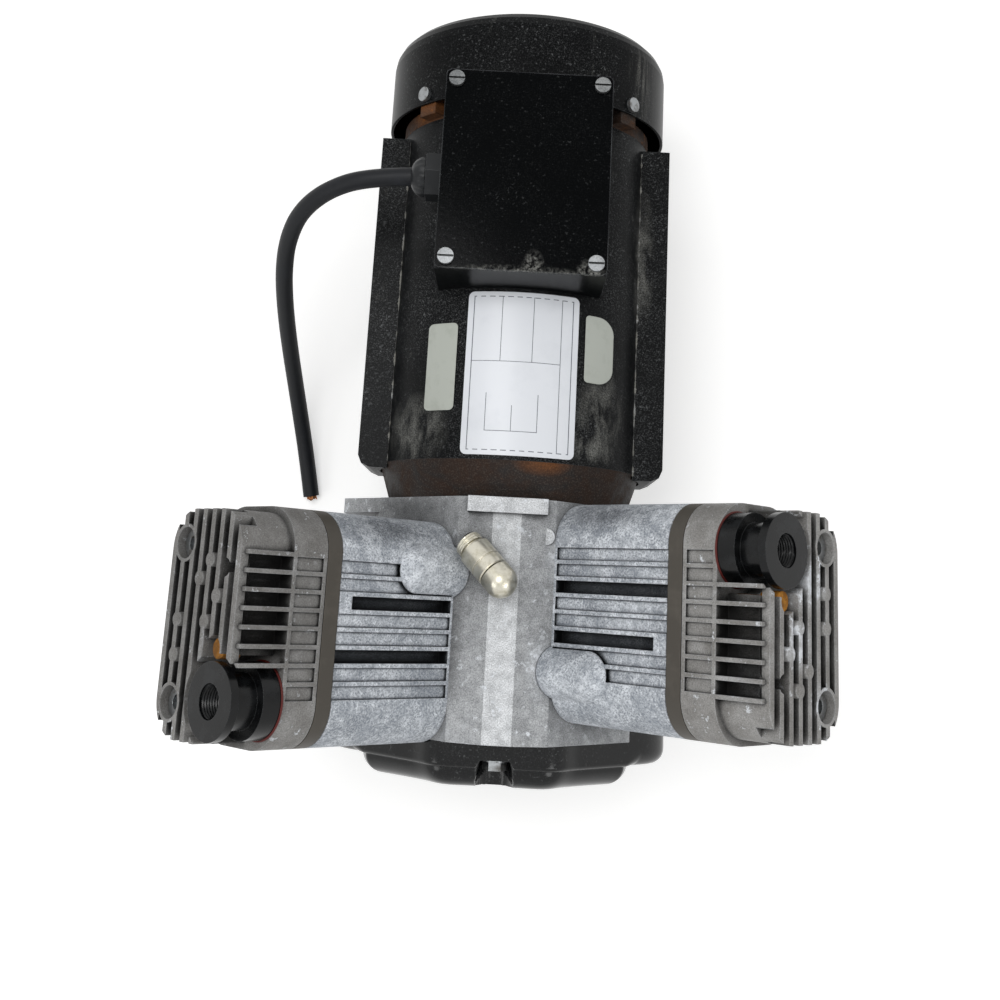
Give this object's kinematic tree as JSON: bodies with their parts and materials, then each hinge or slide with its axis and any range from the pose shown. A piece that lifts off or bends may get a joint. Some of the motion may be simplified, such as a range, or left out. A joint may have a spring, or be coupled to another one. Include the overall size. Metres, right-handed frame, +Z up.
{
  "type": "oil-free twin-cylinder dental air compressor",
  "caption": "Oil-free V-twin piston air compressor driven by an induction motor, with finned heads, air ports, relief valve, terminal box and a mains cord.",
  "frame": {"origin": "centre of the four foot bolts, in the plane the rubber feet stand on", "axes": "+Z up, +Y along the shaft from the crankcase to the fan, +X towards the right-hand cylinder seen from above with the crankcase nearest"},
  "size_m": [0.302, 0.394, 0.2497],
  "materials": {
    "cast_aluminium": "satin",
    "head_casting": "satin",
    "case_casting": "satin",
    "gloss_black": "gloss",
    "bell_casting": "matt",
    "bright_steel": "satin",
    "bearing_steel": "satin",
    "lamination": "matt",
    "copper": "satin",
    "label_foil": "matt",
    "small_label": "matt",
    "gasket": "matt",
    "plate_steel": "satin",
    "black_plastic": "gloss",
    "grey_plastic": "satin",
    "cord_jacket": "matt",
    "nickel": "satin",
    "foot_rubber": "matt",
    "rusty_steel": "matt",
    "piston_alloy": "satin",
    "ring_plastic": "matt",
    "white_plastic": "satin"
  },
  "bodies": {
    "compressor_block": {"crankcase": "case_casting", "front_cover": "gloss_black", "front_cover_bolts": "bright_steel", "drive_end_shield": "bell_casting", "front_bearing": "bearing_steel", "motor_shell": "gloss_black", "rear_end_shield": "gloss_black", "rear_bearing": "bearing_steel", "tie_bolts": "bright_steel", "stator_core": "lamination", "stator_windings": "copper", "fan_cowl": "gloss_black", "cowl_screws": "bright_steel", "left_side_channel": "gloss_black", "right_side_channel": "gloss_black", "terminal_box": "gloss_black", "terminal_box_lid": "gloss_black", "lid_screws": "bright_steel", "terminal_block": "white_plastic", "run_capacitor": "grey_plastic", "cable_gland": "grey_plastic", "gland_nut": "black_plastic", "power_cord": "cord_jacket", "cord_conductors": "copper", "main_label": "label_foil", "side_labels": "small_label", "motor_foot": "gloss_black", "rubber_feet": "foot_rubber", "left_cylinder": "cast_aluminium", "right_cylinder": "cast_aluminium", "left_valve_plate": "plate_steel", "right_valve_plate": "plate_steel", "head_gaskets": "gasket", "left_cylinder_head": "head_casting", "right_cylinder_head": "head_casting", "head_bolts": "bright_steel", "left_port_fitting": "black_plastic", "right_port_fitting": "black_plastic", "port_screws": "rusty_steel", "reed_valves": "bright_steel", "relief_valve_body": "nickel", "relief_valve_cap": "nickel", "relief_valve_spring": "bright_steel"},
    "crank_train": {"motor_shaft": "bright_steel", "rotor_core": "lamination", "crank": "bearing_steel", "counterweight": "lamination", "cooling_fan": "black_plastic", "crankpin_screw": "bright_steel"},
    "left_rod": {"left_connecting_rod": "piston_alloy", "left_rod_bearing": "bearing_steel", "left_wrist_pin": "bearing_steel"},
    "right_rod": {"right_connecting_rod": "piston_alloy", "right_rod_bearing": "bearing_steel", "right_wrist_pin": "bearing_steel"},
    "left_piston_set": {"left_piston": "piston_alloy", "left_piston_rings": "ring_plastic"},
    "right_piston_set": {"right_piston": "piston_alloy", "right_piston_rings": "ring_plastic"},
    "relief_poppet": {"relief_valve_poppet": "nickel"}
  },
  "joints": [
    {"name": "crank_spin", "type": "hinge", "parent": "compressor_block", "child": "crank_train", "pos_m": [0, -0.1, 0.096], "axis": [0, 1, 0], "continuous": true},
    {"name": "left_rod_swing", "type": "hinge", "parent": "crank_train", "child": "left_rod", "pos_m": [0, -0.1062, 0.104], "axis": [0, 1, 0], "continuous": true},
    {"name": "right_rod_swing", "type": "hinge", "parent": "crank_train", "child": "right_rod", "pos_m": [0, -0.0938, 0.104], "axis": [0, 1, 0], "continuous": true},
    {"name": "left_piston_slide", "type": "slide", "parent": "compressor_block", "child": "left_piston_set", "axis": [-0.7071, 0, 0.7071], "range_m": [-0.01349, 0.00251]},
    {"name": "right_piston_slide", "type": "slide", "parent": "compressor_block", "child": "right_piston_set", "axis": [0.7071, 0, 0.7071], "range_m": [-0.01349, 0.00251]},
    {"name": "relief_poppet_lift", "type": "slide", "parent": "compressor_block", "child": "relief_poppet", "axis": [0.6495, -0.6495, 0.3953], "range_m": [0, 0.0015], "stiffness_N_per_m": 400, "springref_m": -0.005}
  ],
  "couplings": [
    {"joint": "left_rod_swing", "follows": "crank_spin", "ratio": -1},
    {"joint": "right_rod_swing", "follows": "crank_spin", "ratio": -1}
  ]
}
